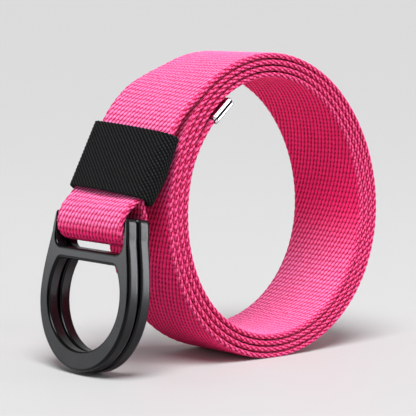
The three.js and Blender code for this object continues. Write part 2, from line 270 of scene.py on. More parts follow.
keeper_up = heading(KEEPER_ANGLE)
keeper_out = heading(KEEPER_ANGLE + 90)
keeper_mouth = bars_middle + [KEEPER_SHIFT, KEEPER_RISE]
strand_offset = KEEPER_WALL + KEEPER_CLEARANCE + STRAP_THICKNESS / 2
fold_offset = strand_offset + STRAP_THICKNESS + FOLD_GAP
half_loop = BAR_DIAMETER + BAR_INSET + RING_GAP / 2 + BAR_CLEARANCE + STRAP_THICKNESS / 2
loop_drop = SLOT_DEPTH - BAR_DEPTH - LOOP_CLEARANCE - STRAP_THICKNESS / 2

spiral_end = PEEL_ANGLE - 360 * COIL_TURNS
tip_dip = TIP_WALL + TIP_CLEARANCE + TIP_DROP
tip_start = coil_point(spiral_end, STRAP_THICKNESS / 2 + tip_dip)
tip_sweep = math.degrees(TIP_LENGTH / np.linalg.norm(tip_start - coil_centre))
tip_aim = coil_point(spiral_end - tip_sweep, STRAP_THICKNESS / 2 + tip_dip - TIP_DROP / 2)
tip_forward = (tip_aim - tip_start) / np.linalg.norm(tip_aim - tip_start)
print("sleeve's mouth:", keeper_mouth.round(2), "cap starts at:", tip_start.round(2))

# %% [markdown]
# ## Formulas of the stretches
# The spiral starts with a short straight chord inside the cap. The tail is one smooth curve that leaves
# the coil along its tangent and comes into the sleeve along the sleeve's axis. The loop is drawn through
# a few points round the bars, as a slack band of cloth hangs.

# %% Stretches of the strap
CHORD_OVERLAP, CHORD_POINTS = 0.5, 20
COIL_POINTS, TAIL_POINTS, LOOP_POINTS = 2600, 120, 30


def smooth_share(value):
    v = np.clip(value, 0, 1)
    return v * v * (3 - 2 * v)


def keeper_point(along, inwards):
    return keeper_mouth + np.multiply.outer(along, keeper_up) - np.multiply.outer(inwards, keeper_out)


def coil_line():
    strap_end = TIP_LENGTH - TIP_END_WALL - TIP_CLEARANCE
    along = np.linspace(strap_end, CHORD_OVERLAP, CHORD_POINTS)
    chord = tip_start + np.multiply.outer(along, tip_forward)
    degrees = np.linspace(spiral_end, PEEL_ANGLE, COIL_POINTS)
    bend = 1 - smooth_share((degrees - spiral_end) / TIP_BEND)
    return np.concatenate([chord, coil_point(degrees, STRAP_THICKNESS / 2 + tip_dip * bend)])


def tail_line(start, before):
    end = keeper_point(KEEPER_LENGTH, strand_offset)
    span = np.linalg.norm(end - start) * TAIL_HANDLE
    away = (start - before) / np.linalg.norm(start - before)
    t = np.linspace(0, 1, TAIL_POINTS)[1:, None]
    knots = (start, start + away * span, end + keeper_up * span, end)
    weights = ((1 - t) ** 3, 3 * (1 - t) ** 2 * t, 3 * (1 - t) * t**2, t**3)
    return sum(w * k for w, k in zip(weights, knots))


def smooth_through(points, steps):
    points = np.array(points)
    padded = np.concatenate([points[:1], points, points[-1:]])
    t = np.linspace(0, 1, steps, endpoint=False)[:, None]
    line = []
    for p0, p1, p2, p3 in zip(padded, padded[1:], padded[2:], padded[3:]):
        v0, v1 = (p2 - p0) / 2, (p3 - p1) / 2
        cubic, square = 2 * (p1 - p2) + v0 + v1, 3 * (p2 - p1) - 2 * v0 - v1
        line.append(cubic * t**3 + square * t**2 + v0 * t + p1)
    return np.concatenate(line + [points[-1:]])


def loop_line():
    points = [keeper_point(share * MOUTH_LENGTH, strand_offset) for share in reversed(MOUTH_STEPS)]
    points += [bars_middle + [across * half_loop, -down * loop_drop] for across, down in LOOP_SECTIONS]
    points.append(keeper_point(-FOLD_BEND, fold_offset + FOLD_GAP / 2))
    points += [keeper_point(share * MOUTH_LENGTH, fold_offset) for share in MOUTH_STEPS]
    points.append(keeper_point(FOLD_LENGTH, fold_offset))
    return smooth_through(points, LOOP_POINTS)


coil = coil_line()
tail = tail_line(coil[-1], coil[-2])
print("points: coil", len(coil), "tail", len(tail), "loop", len(loop_line()))

# %% [markdown]
# ## One even line
# The stretches are joined, and points are set at equal steps, so that every row of the mesh is as long
# as the next. A gentle smoothing takes the last corners out, as a stiff band can't follow them.

# %% Join the stretches
ROW_STEP = 0.46
SOFTENING = 1.2


def lengths(line):
    return np.concatenate([[0], np.cumsum(np.linalg.norm(np.diff(line, axis=0), axis=1))])


def evenly(line, step):
    run = lengths(line)
    at = np.linspace(0, run[-1], int(run[-1] / step) + 1)
    return np.stack([np.interp(at, run, line[:, k]) for k in (0, 1)], -1)


def softened(line, step, width):
    reach = int(3 * width / step)
    bell = np.exp(-0.5 * (np.arange(-reach, reach + 1) * step / width) ** 2)
    bell /= bell.sum()
    before = line[0] + np.outer(np.arange(-reach, 0), line[1] - line[0])
    after = line[-1] + np.outer(np.arange(1, reach + 1), line[-1] - line[-2])
    longer = np.concatenate([before, line, after])
    return np.stack([np.convolve(longer[:, k], bell, "valid") for k in (0, 1)], -1)


strap_line = evenly(np.concatenate([coil, tail, loop_line()]), ROW_STEP)
strap_line = softened(strap_line, ROW_STEP, SOFTENING)
strap_run = lengths(strap_line)
peel_run = lengths(evenly(coil, ROW_STEP))[-1]
print("strap length in mm:", round(strap_run[-1]), "of it in the coil:", round(peel_run))

# %% [markdown]
# ## Twist of the tail
# The free tail isn't quite square to the coil. The front edge of soft webbing leans in to the turn that
# it has just left, and the back edge stands off a little. The sleeve turns with the tail, and below the
# sleeve the strap is square again, because the straight bars hold it.

# %% Twist of the tail
TWIST, TWIST_AT_MOUTH, TWIST_RUNOUT, TWIST_CLEARANCE = 2.4, 0.3, 8.0, 0.8
LEAN_MIDDLE, LEAN_SPREAD = 0.25, 0.75


def sleeve_twist(along):
    held = TWIST_AT_MOUTH + (1 - TWIST_AT_MOUTH) * np.clip(along / KEEPER_LENGTH, 0, 1)
    return TWIST * held * smooth_share(1 + along / TWIST_RUNOUT)


def line_twist(line, run):
    """How far the front edge leans in, at every point of the strap's line."""
    reach = line - coil_centre
    degrees = np.degrees(np.arctan2(reach[:, 1], reach[:, 0])) % 360 - 360
    gap = np.linalg.norm(reach, axis=1) - outer_radius(degrees) - STRAP_THICKNESS / 2 - TURN_GAP
    along = (line - keeper_mouth) @ keeper_up
    free = np.clip(gap * TWIST_CLEARANCE, 0, TWIST)
    held = np.where(along > KEEPER_LENGTH, free, sleeve_twist(along))
    return np.where(run < peel_run, 0, held)


def lean_share(across):
    """Share of the twist by which a column leans in: 1 at the front edge, a little back at the other."""
    return LEAN_MIDDLE - LEAN_SPREAD * across / (STRAP_WIDTH / 2)


strap_twist = line_twist(strap_line, strap_run)
print("most twist in mm:", round(strap_twist.max(), 2))

# %% [markdown]
# ## One rule for woven and knitted cloth
# Up close the webbing is a field of small slanted knuckles, where a thick yarn comes up over the yarns
# that cross it. They sit in two staggered sets, like bricks, and are smaller along the woven edges. The
# rule below gives the height of that field from two coordinates: how far along the strap, and how far
# round its section. It is used twice. Geometry Nodes push the mesh out by it, so that the knuckles are
# real, and the material reads it again to paint shade into the pits between them. The sleeve's knit is
# the same rule with finer sizes. A slow noise shifts the pattern a little, because yarns never lie quite
# even.

# %% Height of the weave
KNUCKLE_SIZES = {
    "Row Pitch": 4.05, "Rib Pitch": 2.0, "Slant": 0.4, "Half Length": 1.36, "Half Width": 0.97,
}
EDGE_SIZES = {
    "Edge Row Pitch": 3.0, "Edge Rib Pitch": 1.3, "Edge Slant": 0.22, "Edge Half Length": 0.95,
    "Edge Half Width": 0.5,
}
UNEVENNESS = {"Unevenness": 1.1, "Unevenness Scale": 0.5}
WEAVE_SIZES = {**KNUCKLE_SIZES, **EDGE_SIZES, **UNEVENNESS}
STAGGER = (0.5, 1.0)
SIDEWAYS_DRIFT = 0.4


def noise(tree, place, scale, detail):
    values = {"Vector": place, "Scale": scale, "Detail": detail}
    return added(tree, "ShaderNodeTexNoise", values).outputs["Fac"]


def parts_of(tree, vector):
    return added(tree, "ShaderNodeSeparateXYZ", {0: vector}).outputs


def knuckle_height(tree, along, around, sizes, zone=""):
    """The higher of the two staggered sets of slanted, round-topped knuckles."""
    rises = []
    for shift in STAGGER:
        local = []
        for spot, pitch in ((along, sizes[zone + "Row Pitch"]), (around, sizes[zone + "Rib Pitch"])):
            turns = maths(tree, "ADD", maths(tree, "DIVIDE", spot, pitch), shift)
            share = maths(tree, "SUBTRACT", maths(tree, "FRACT", turns), 0.5)
            local.append(maths(tree, "MULTIPLY", share, pitch))
        u, v = local
        v = maths(tree, "SUBTRACT", v, maths(tree, "MULTIPLY", u, sizes[zone + "Slant"]))
        long_part = maths(tree, "POWER", maths(tree, "DIVIDE", u, sizes[zone + "Half Length"]), 2)
        wide_part = maths(tree, "POWER", maths(tree, "DIVIDE", v, sizes[zone + "Half Width"]), 2)
        inside = maths(tree, "SUBTRACT", 1, maths(tree, "ADD", long_part, wide_part))
        rises.append(maths(tree, "SQRT", maths(tree, "MAXIMUM", inside, 0)))
    return maths(tree, "MAXIMUM", *rises)


def woven_height(tree, place, zone, sizes):
    """Height of the weave, its place along and around with the unevenness in it, and the painted light
    share.
    """
    spot, share = parts_of(tree, place), parts_of(tree, zone)
    drift = noise(tree, place, sizes["Unevenness Scale"], 1)
    shift = maths(tree, "MULTIPLY", maths(tree, "SUBTRACT", drift, 0.5), sizes["Unevenness"])
    along = maths(tree, "ADD", spot[0], shift)
    around = maths(tree, "MULTIPLY_ADD", shift, SIDEWAYS_DRIFT, spot[1])
    face = knuckle_height(tree, along, around, sizes)
    edge = knuckle_height(tree, along, around, sizes, "Edge ")
    height = maths(tree, "MULTIPLY_ADD", maths(tree, "SUBTRACT", edge, face), share[0], face)
    return height, along, around, share[1]


print("sizes of the weave:", WEAVE_SIZES)

# %% [markdown]
# ## Relief
# The relief tree moves every point out along its normal, by the height of the weave there times the
# weight that the point carries. It is built once, with the sizes as inputs, and serves both cloths.

# %% Relief tree
TO_METRES = 0.001


def new_tree(kind, name, inputs, outputs):
    tree = bpy.data.node_groups.new(name, kind)
    for label, value in inputs.items():
        socket_type = value if isinstance(value, str) else "NodeSocketFloat"
        socket = tree.interface.new_socket(label, in_out="INPUT", socket_type=socket_type)
        if not isinstance(value, str):
            socket.default_value = value
    for label, socket_type in outputs.items():
        tree.interface.new_socket(label, in_out="OUTPUT", socket_type=socket_type)
    return tree, tree.nodes.new("NodeGroupInput").outputs, tree.nodes.new("NodeGroupOutput")


def named_vector(tree, name):
    node = added(tree, "GeometryNodeInputNamedAttribute", data_type="FLOAT_VECTOR")
    feed(tree, node, {"Name": name})
    return node.outputs["Attribute"]


def relief_tree():
    inputs = {
        "Geometry": "NodeSocketGeometry", **WEAVE_SIZES, "Depth": 0.4, "Material": "NodeSocketMaterial",
    }
    outputs = {"Geometry": "NodeSocketGeometry"}
    tree, given, result = new_tree("GeometryNodeTree", "woven_relief", inputs, outputs)
    place, zone = named_vector(tree, "weave_place"), named_vector(tree, "weave_zone")
    height = woven_height(tree, place, zone, given)[0]
    weighted = maths(tree, "MULTIPLY", height, parts_of(tree, place)[2])
    push = maths(tree, "MULTIPLY", weighted, given["Depth"])
    normal = added(tree, "GeometryNodeInputNormal").outputs[0]
    offset = added(tree, "ShaderNodeVectorMath", {0: normal}, operation="SCALE")
    feed(tree, offset, {"Scale": maths(tree, "MULTIPLY", push, TO_METRES)})
    values = {"Geometry": given["Geometry"], "Offset": offset.outputs[0]}
    moved = added(tree, "GeometryNodeSetPosition", values)
    real = added(tree, "GeometryNodeRealizeInstances", {0: moved.outputs[0]})
    values = {"Geometry": real.outputs[0], "Material": given["Material"]}
    dressed = added(tree, "GeometryNodeSetMaterial", values)
    feed(tree, result, {0: dressed.outputs[0]})
    return tree


RELIEF = relief_tree()
print("relief tree nodes:", len(RELIEF.nodes))

# %% [markdown]
# The modifier's inputs are set by their identifiers. The evaluated mesh then takes the place of the
# plain one and the modifier goes, so that what is left is a plain mesh with real knuckles.

# %% Apply the relief
def with_relief(thing, material, sizes):
    modifier = thing.modifiers.new("relief", "NODES")
    modifier.node_group = RELIEF
    sockets = [item for item in RELIEF.interface.items_tree if item.in_out == "INPUT"]
    names = {item.name: item.identifier for item in sockets}
    for label, value in {**sizes, "Material": material}.items():
        modifier[names[label]] = value
    bpy.context.view_layer.update()
    evaluated = thing.evaluated_get(bpy.context.evaluated_depsgraph_get())
    mesh = bpy.data.meshes.new_from_object(evaluated)
    thing.modifiers.clear()
    thing.data = mesh
    return thing


def triangles_of(piece):
    return sum(len(polygon.vertices) - 2 for polygon in piece.data.polygons)


print("the relief takes", len(RELIEF.interface.items_tree) - 1, "inputs")

# %% [markdown]
# ## Cloth colour
# The dyed yarn's colour follows the height of the knuckles through three tones, pit, yarn and crown,
# which paints shade into the pits and a highlight on the crowns. There are two sets of them. The deep
# set paints the shaded look on faces that look sideways or down, and the pale set paints the lit look on
# faces that look up, where the light falls. The woven edges take a bit of both. Blotches, fine lines
# along the yarn and fibres vary the tones, so that it reads as thread.

# %% Yarn shader group
YARN_TONES = (
    "Pit Color", "Yarn Color", "Crown Color", "Painted Light Pit Color", "Painted Light Yarn Color", "Painted Light Crown Color",
)
TONE_SLOPE, YARN_START, CROWN_START = 2.4, -0.5, -1.4
FIBRE_SCALE, FLECK_SHARE = 3.2, 0.7
# Of each pattern: how much it brightens the cloth, and from which level.
BLOTCH_SHADE, THREAD_SHADE, FIBRE_SHADE = (0.24, 0.88), (0.10, 0.95), (0.6, 0.7)
THREAD_HEIGHT, FIBRE_HEIGHT = 0.25, 0.35
YARN_ROUGHNESS = (-0.16, 0.92)


def mixed_color(tree, share, first, second):
    values = {"Factor": share, 6: first, 7: second}
    return added(tree, "ShaderNodeMix", data_type="RGBA", values=values).outputs[2]


def toned(tree, height, tones):
    """Pit, yarn and crown colours by height, which paint shade into the pits and a highlight on crowns.
    """
    low = mixed_color(tree, maths(tree, "MULTIPLY_ADD", height, TONE_SLOPE, YARN_START), *tones[:2])
    return mixed_color(tree, maths(tree, "MULTIPLY_ADD", height, TONE_SLOPE, CROWN_START), low, tones[2])


def yarn_group():
    inputs = {
        "Place": "NodeSocketVector", "Zone": "NodeSocketVector", **WEAVE_SIZES,
        "Thread Pitch": 0.3, "Thread Twist": 0.9, "Blotch Scale": 0.35,
        **{tone: "NodeSocketColor" for tone in YARN_TONES},
    }
    outputs = {"Color": "NodeSocketColor", "Height": "NodeSocketFloat", "Roughness": "NodeSocketFloat"}
    tree, given, result = new_tree("ShaderNodeTree", "yarn", inputs, outputs)
    height, along, around, painted_lit_share = woven_height(tree, given["Place"], given["Zone"], given)
    twist = maths(tree, "SUBTRACT", around, maths(tree, "MULTIPLY", along, given["Thread Twist"]))
    turns = maths(tree, "DIVIDE", twist, given["Thread Pitch"])
    wave = maths(tree, "SINE", maths(tree, "MULTIPLY", turns, math.tau))
    thread = maths(tree, "MULTIPLY_ADD", wave, 0.5, 0.5)
    blotch = noise(tree, given["Place"], given["Blotch Scale"], 3)
    fibre = noise(tree, given["Place"], FIBRE_SCALE, 2)

    uneven = maths(tree, "MULTIPLY_ADD", maths(tree, "SUBTRACT", fibre, 0.5), FLECK_SHARE, height)
    deep, pale = (toned(tree, uneven, [given[tone] for tone in tones])
                  for tones in (YARN_TONES[:3], YARN_TONES[3:]))
    value = maths(tree, "MULTIPLY_ADD", blotch, *BLOTCH_SHADE)
    value = maths(tree, "MULTIPLY", value, maths(tree, "MULTIPLY_ADD", thread, *THREAD_SHADE))
    value = maths(tree, "MULTIPLY", value, maths(tree, "MULTIPLY_ADD", fibre, *FIBRE_SHADE))
    # The pale tones, painted light, take over as the share of painted light rises.
    color = mixed_color(tree, painted_lit_share, deep, pale)
    shade = added(tree, "ShaderNodeHueSaturation", {"Color": color, "Value": value})
    relief = maths(tree, "MULTIPLY_ADD", thread, THREAD_HEIGHT, height)
    feed(tree, result, {
        "Color": shade.outputs[0],
        "Height": maths(tree, "MULTIPLY_ADD", fibre, FIBRE_HEIGHT, relief),
        "Roughness": maths(tree, "MULTIPLY_ADD", height, *YARN_ROUGHNESS),
    })
    return tree


YARN = yarn_group()
print("yarn group nodes:", len(YARN.nodes))

# %% [markdown]
# A cloth is the yarn group with its own tones and sizes, a fine bump for the fibres that are too small
# for the mesh, and a soft sheen. The place in the weave comes from the attributes of the mesh.

# %% Pink webbing
SHEEN_ROUGHNESS = 0.4
# The deep tones are a painted shaded look and the pale tones a painted lit look of the same pink.
PINK_DEEP = ((0.22, 0.0003, 0.018, 1), (0.80, 0.006, 0.12, 1), (0.98, 0.016, 0.19, 1))
PINK_PAINTED_LIT = ((0.40, 0.001, 0.045, 1), (0.76, 0.05, 0.22, 1), (0.86, 0.27, 0.54, 1))


def from_mesh(tree, name):
    return added(tree, "ShaderNodeAttribute", attribute_name=name)


def bumped(tree, height, bump):
    values = {"Strength": bump[0], "Distance": bump[1], "Height": height}
    return added(tree, "ShaderNodeBump", values).outputs[0]


def cloth_material(name, colors, sizes, bump, sheen, specular):
    material, tree, skin = new_material(name)
    yarn = added(tree, "ShaderNodeGroup", node_tree=YARN)
    feed(tree, yarn, {**sizes, **dict(zip(YARN_TONES, colors))})
    feed(tree, yarn, {
        "Place": from_mesh(tree, "weave_place").outputs["Vector"],
        "Zone": from_mesh(tree, "weave_zone").outputs["Vector"],
    })
    feed(tree, skin, {
        "Base Color": yarn.outputs["Color"], "Roughness": yarn.outputs["Roughness"],
        "Normal": bumped(tree, yarn.outputs["Height"], bump), "Specular IOR Level": specular,
        "Sheen Weight": sheen[0], "Sheen Roughness": SHEEN_ROUGHNESS, "Sheen Tint": sheen[1],
    })
    return material


PINK = cloth_material(
    "pink_webbing", PINK_DEEP + PINK_PAINTED_LIT, WEAVE_SIZES,
    bump=(0.5, 0.0003), sheen=(0.05, (1, 0.6, 0.8, 1)), specular=0.25)
print("made", PINK.name)

# %% [markdown]
# ## Weaving the strap
# The strap's section is a thin flat oblong with round edges. Sweeping it along the path gives one long
# grid, whose columns run along the strap. Only the outside of the last turn, the inside of the first
# turn, the tail and the edges are ever seen, so only those get the fine columns that knuckles need.
# Along the borders of the faces the relief is low, which leaves a groove before the woven edge.

# %% Section of the strap
COLUMN_STEP = 0.46
RELIEF_DEPTH = 0.42
RELIEF_ROOM, EDGE_ROOM = 0.34, 0.1
RIBS_ROUND = 40
HALF_THICKNESS = STRAP_THICKNESS / 2 - RELIEF_ROOM
HALF_FLAT = STRAP_WIDTH / 2 - EDGE_ROOM - HALF_THICKNESS
HALF_GIRTH = 2 * HALF_FLAT + math.pi * HALF_THICKNESS
EDGE_COLUMNS = 7
EDGE_RELIEF, GROOVE_RELIEF = 0.9, 0.35
SELVAGE = 0.3
# A hidden face has columns near its borders alone: how far in from the border, and how much relief.
COARSE_COLUMNS = np.array([0, 0.45, 0.9, 1.5, 2.6])
COARSE_RELIEF = np.array([1, 1, 0.8, 0.3, 0])


def face_columns(fine):
    if fine:
        across = np.linspace(-HALF_FLAT, HALF_FLAT, int(2 * HALF_FLAT / COLUMN_STEP) + 1)
        return across, np.ones(len(across))
    across = np.concatenate([COARSE_COLUMNS - HALF_FLAT, [0], HALF_FLAT - COARSE_COLUMNS[::-1]])
    return across, np.concatenate([COARSE_RELIEF, [0], COARSE_RELIEF[::-1]])


def strap_section(outer_fine, inner_fine):
    """Columns round the section: across, outwards, distance round, relief and edge share."""
    arc = np.linspace(0, math.pi, EDGE_COLUMNS + 2)[1:-1]
    rows = []
    for side, start, fine in ((1, 0, outer_fine), (-1, HALF_GIRTH, inner_fine)):
        for across, weight in zip(*face_columns(fine)):
            border = abs(across) > HALF_FLAT - SELVAGE
            weight = GROOVE_RELIEF if border else weight
            rows.append((side * across, side * HALF_THICKNESS, start + across, weight, border))
        for angle in arc:
            reach = side * (HALF_FLAT + HALF_THICKNESS * math.sin(angle))
            out = side * HALF_THICKNESS * math.cos(angle)
            weight = GROOVE_RELIEF + (EDGE_RELIEF - GROOVE_RELIEF) * math.sin(angle)
            rows.append((reach, out, start + HALF_FLAT + HALF_THICKNESS * angle, weight, 1))
    rows = np.array(rows, float)
    rows[:, 2] *= RIBS_ROUND * KNUCKLE_SIZES["Rib Pitch"] / (2 * HALF_GIRTH)
    return rows


print("columns: fine", len(strap_section(True, True)), "coarse", len(strap_section(False, False)))

# %% [markdown]
# A grid of points becomes a mesh with one quad between four neighbours. Its ends are closed with one
# face each, unless its rows close on themselves. The sign of its volume says which way the quads face.

# %% Mesh from a grid of points
def grid_mesh(name, points, attributes=None, close_rows=False):
    """A closed skin over rows of points, each row going round a section."""
    rows, columns = points.shape[:2]
    r = np.arange(rows if close_rows else rows - 1)[:, None]
    c = np.arange(columns)[None]
    after, beside = (r + 1) % rows, (c + 1) % columns
    quads = np.stack([
        r * columns + c, after * columns + c, after * columns + beside, r * columns + beside,
    ], -1).reshape(-1, 4)
    flat = points.reshape(-1, 3)
    a, b, d = flat[quads[:, 0]], flat[quads[:, 1]], flat[quads[:, 2]]
    inside_out = np.einsum("ij,ij->i", a, np.cross(b, d)).sum() < 0
    faces = (quads[:, ::-1] if inside_out else quads).tolist()
    if not close_rows:
        for start, turned in ((0, inside_out), ((rows - 1) * columns, not inside_out)):
            cap = list(range(start, start + columns))
            faces.append(cap[::-1] if turned else cap)
    mesh = bpy.data.meshes.new(name)
    mesh.from_pydata((flat * TO_METRES).tolist(), [], faces)
    for label, values in (attributes or {}).items():
        attribute = mesh.attributes.new(label, "FLOAT_VECTOR", "POINT")
        attribute.data.foreach_set("vector", values.reshape(-1, 3).astype(np.float32).ravel())
    mesh.polygons.foreach_set("use_smooth", [True] * len(mesh.polygons))
    mesh.update()
    return linked(name, mesh)


def lay_on_floor(piece):
    """Flatten the knuckles that reach below the table's top."""
    spots = np.zeros(len(piece.data.vertices) * 3, np.float32)
    piece.data.vertices.foreach_get("co", spots)
    spots[2::3] = np.maximum(spots[2::3], 0)
    piece.data.vertices.foreach_set("co", spots)
    piece.data.update()


# %% [markdown]
# A piece is the section, swept along a part of the path. Every point carries its place in the weave,
# and the share of painted light, which rises as the face turns up. The tail and loop take the painted
# light earlier than the coil.

# %% One piece of the strap
# How much of the pale, painted-light tones the faces that look up and the woven edges take.
PAINTED_LIGHT_SHARE, EDGE_PAINTED_LIGHT = 0.95, 0.45
COIL_PALING, LOOP_PALING, PALING_SPREAD = 0.1, 0.4, 0.75


def strap_piece(name, start, stop, outer_fine, inner_fine, paling=COIL_PALING):
    first, last = np.searchsorted(strap_run, [start, stop])
    end = len(strap_run) - 1
    chosen = np.arange(first, min(last, end) + 1)
    along = strap_line[np.minimum(chosen + 1, end)] - strap_line[np.maximum(chosen - 1, 0)]
    along /= np.linalg.norm(along, axis=1)[:, None]
    outwards = np.stack([along[:, 1], -along[:, 0]], -1)
    across, out, around, weight, edge_share = strap_section(outer_fine, inner_fine).T[:, None]
    stand = out - strap_twist[chosen][:, None] * lean_share(across)
    flat = strap_line[chosen][:, None] + outwards[:, None] * stand[..., None]
    points, place, zone = np.zeros((3, len(chosen), across.shape[1], 3))
    points[..., 0], points[..., 1], points[..., 2] = flat[..., 0], across, flat[..., 1]
    place[..., 0], place[..., 1], place[..., 2] = strap_run[chosen][:, None], around, weight
    # Faces that look up take the pale tones as painted light; the edges take a fixed share of it.
    lit = smooth_share((np.sign(out) * outwards[:, 1:] + paling) / PALING_SPREAD)
    zone[..., 0] = edge_share
    zone[..., 1] = np.where(edge_share == 1, EDGE_PAINTED_LIGHT, lit * PAINTED_LIGHT_SHARE)
    piece = grid_mesh(name, points, {"weave_place": place, "weave_zone": zone})
    with_relief(piece, PINK, {**WEAVE_SIZES, "Depth": RELIEF_DEPTH})
    lay_on_floor(piece)
    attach(piece, "belt")
    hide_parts("strap")
    print(name, "triangles:", triangles_of(piece))


# %% [markdown]
# The strap is cut into four pieces to keep each mesh a handy size. One rule shapes them all, so the
# cuts don't show.

# %% Cut the strap into its four pieces
INNER_FINE_TURN, OUTER_FINE_TURN = 385, 375
TAIL_OVERHANG = 8
CUT_POINTS = 800


def stretch(start, stop, inwards):
    return lengths(coil_point(np.linspace(start, stop, CUT_POINTS), inwards))[-1]


first_turn = TIP_LENGTH + stretch(spiral_end, spiral_end + INNER_FINE_TURN, STRAP_THICKNESS)
last_turn = peel_run - stretch(PEEL_ANGLE - OUTER_FINE_TURN, PEEL_ANGLE, 0.5)
strap_piece("webbing_inner_turn", 0, first_turn, False, True)
strap_piece("webbing_middle_turns", first_turn, last_turn, False, False)
strap_piece("webbing_outer_turn", last_turn, peel_run - TAIL_OVERHANG, True, False)
strap_piece("webbing_tail_and_loop", peel_run - TAIL_OVERHANG, strap_run[-1], True, True, LOOP_PALING)

# %% [markdown]
# ## Keeper sleeve
# The sleeve is a short tube of black elastic knit, pulled over the strap where its end is folded back.
# It is thicker over the fold and thins past it, its faces bulge a little, and its lips are soft and
# round. Its rows run from one lip over the outside to the other lip and back inside. The outside gets
# the knit, and the inside is plain.

# %% Section of the sleeve
TAPER_START, TAPER_LENGTH, KEEPER_CORNER = 9.0, 17.0, 2.9
KEEPER_CROWN, SIDE_CROWN, KEEPER_SKEW = 1.1, 0.7, 1.3
KEEPER_LIP, LEAST_CORNER, FOLD_SIDE_CROWN = 0.75, 0.6, 0.5
LIP_POINTS, SIDE_POINTS, CORNER_POINTS = 7, 12, 14
INSIDE_ROWS = (22, 18.5, 16, 13.5, 8, 3)
KNIT_STEP = 0.25


def cavity(along):
    single = 2 * KEEPER_CLEARANCE + STRAP_THICKNESS
    double = single + STRAP_THICKNESS + FOLD_GAP
    share = smooth_share((along - TAPER_START) / TAPER_LENGTH)
    return double + (single - double) * share


def rounded_oblong(half_width, high, low, corner, counts):
    """Points round an oblong, across and outwards, from the right end of its high side."""
    across_count, side_count, corner_count = counts
    corners = [
        (half_width - corner, high - corner, 90), (half_width - corner, low + corner, 0),
        (corner - half_width, low + corner, -90), (corner - half_width, high - corner, -180),
    ]
    points = []
    for (y, out, turn), (next_y, next_out, _), count in zip(
            corners, corners[1:] + corners[:1], (side_count, across_count, side_count, across_count)):
        angles = np.radians(turn - np.linspace(0, 90, corner_count))
        arc = np.stack([y + corner * np.cos(angles), out + corner * np.sin(angles)], -1)
        after = np.radians(turn - 90)
        start = arc[-1]
        stop = np.array([next_y + corner * np.cos(after), next_out + corner * np.sin(after)])
        t = np.linspace(0, 1, count + 2)[1:-1, None]
        points += [arc, start + (stop - start) * t]
    return np.concatenate(points)


def keeper_rows():
    """Every row's place along the sleeve, and how far it stands in from the outside."""
    turn = np.radians(np.linspace(0, 90, LIP_POINTS))
    lips = [(KEEPER_LIP * (1 - math.cos(a)), KEEPER_LIP * (1 - math.sin(a))) for a in turn]
    outside = [(s, 0) for s in np.arange(KEEPER_LIP, KEEPER_LENGTH - KEEPER_LIP, KNIT_STEP)[1:]]
    far = [(KEEPER_LENGTH - a, w) for a, w in reversed(lips)]
    inside_far = [(KEEPER_LENGTH - a, 2 * KEEPER_LIP - w) for a, w in lips[1:]]
    inside_near = [(a, 2 * KEEPER_LIP - w) for a, w in reversed(lips[1:])]
    inside = [(s, 2 * KEEPER_LIP) for s in INSIDE_ROWS]
    rows = lips + outside + far + inside_far + inside + inside_near
    return rows, len(lips) + len(outside) // 3


print("rows of the sleeve:", len(keeper_rows()[0]))

# %% [markdown]
# Every row is a rounded oblong that bulges, leans and turns with the tail. The number of ribs round the
# sleeve is rounded, so that the knit meets itself without a seam.

# %% Knit the sleeve
KNIT_SIZES = {
    **WEAVE_SIZES, "Row Pitch": 1.5, "Rib Pitch": 1.9, "Slant": 0.8, "Half Length": 0.5,
    "Half Width": 0.42, "Unevenness": 0.5, "Unevenness Scale": 0.8,
}
KNIT_DEPTH = 0.2
# The knit's pit, yarn and crown tones paint shade into its pits and a highlight on its crowns.
BLACK_TONES = ((0.0015, 0.0015, 0.002, 1), (0.0035, 0.0037, 0.004, 1), (0.026, 0.027, 0.028, 1))


def keeper_mesh():
    half = STRAP_WIDTH / 2 + KEEPER_CLEARANCE + KEEPER_WALL
    counts = (int(2 * (half - KEEPER_CORNER) / KNIT_STEP), SIDE_POINTS, CORNER_POINTS)
    rows, middle_row = keeper_rows()
    points, place = [], []
    for along, inset in rows:
        low = -cavity(along) - 2 * KEEPER_WALL + inset
        corner = max(KEEPER_CORNER - inset, LEAST_CORNER)
        section = rounded_oblong(half - inset, -inset, low, corner, counts)
        bulge = KEEPER_CROWN * (1 - (section[:, 0] / half) ** 2)
        out = section[:, 1] + np.where(section[:, 1] > low / 2, bulge, -bulge * FOLD_SIDE_CROWN)
        level = np.clip((section[:, 1] - low / 2) / (low / 2), -1, 1)
        across = section[:, 0] * (1 + SIDE_CROWN / half * (1 - level**2))
        lean = -KEEPER_SKEW * (half - section[:, 0]) / (2 * half)
        out -= sleeve_twist(along) * lean_share(section[:, 0])
        centre = keeper_mouth + (along + lean)[:, None] * keeper_up + out[:, None] * keeper_out
        points.append(np.stack([centre[:, 0], across, centre[:, 1]], -1))
        weight = np.full(len(section), 1.0 if inset <= KEEPER_LIP else 0.0)
        place.append(np.stack([np.full(len(section), along - inset), weight, weight], -1))
    points, place = np.array(points), np.array(place)
    middle = points[middle_row]
    steps = np.linalg.norm(np.diff(middle, axis=0, append=middle[:1]), axis=1)
    girth = steps.sum()
    ribs = round(girth / KNIT_SIZES["Rib Pitch"])
    around = np.concatenate([[0], np.cumsum(steps)[:-1]]) * ribs * KNIT_SIZES["Rib Pitch"] / girth
    place[..., 1] = around[None]
    return grid_mesh("keeper_sleeve", points, {"weave_place": place}, close_rows=True)


BLACK_KNIT = cloth_material(
    "black_elastic", BLACK_TONES * 2, KNIT_SIZES,
    bump=(0.6, 0.0002), sheen=(0.02, (0.6, 0.6, 0.62, 1)), specular=0.12)
keeper = with_relief(keeper_mesh(), BLACK_KNIT, {**KNIT_SIZES, "Depth": KNIT_DEPTH})
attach(keeper, "belt")
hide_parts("keeper")
print("keeper triangles:", triangles_of(keeper))

# %% [markdown]
# ## D rings
# Each ring is a flat plate with a round opening for the strap's free end, a cross piece above it and
# two short legs that hold the bar. Its outline and its opening are drawn in the plate's own plane, as
# arcs and simple curves: the right half first, which is then mirrored.

